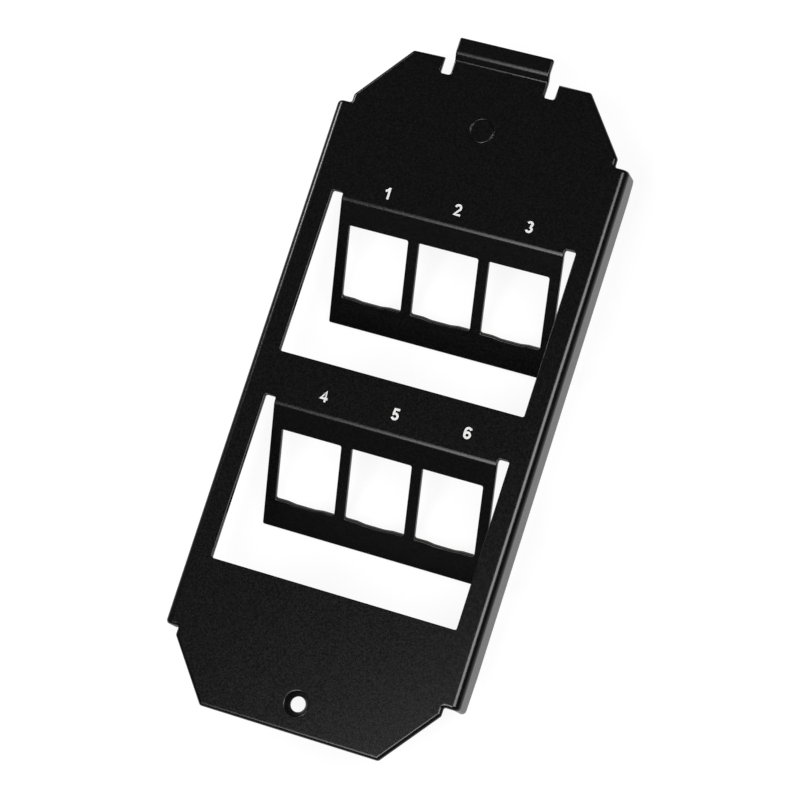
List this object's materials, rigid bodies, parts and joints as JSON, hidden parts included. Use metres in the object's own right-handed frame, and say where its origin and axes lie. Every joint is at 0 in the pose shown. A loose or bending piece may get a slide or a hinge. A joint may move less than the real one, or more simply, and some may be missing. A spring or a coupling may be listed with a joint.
{
  "type": "floor box insert",
  "caption": "Folded steel insert plate for a floor box, with sloping flaps of data jack windows, a hook tab, a countersunk screw hole and a flush earth stud.",
  "frame": {"origin": "centre of the plate's underside, the face that seats on the box's rim", "axes": "+X across the plate, +Y along it towards the hook tab, +Z out of the face that shows"},
  "size_m": [0.075, 0.1711, 0.0223],
  "materials": {
    "black_powder_coat": "satin",
    "zinc_plated_steel": "satin"
  },
  "bodies": {
    "root": {"plate": "black_powder_coat", "earth_stud": "zinc_plated_steel"}
  },
  "joints": []
}
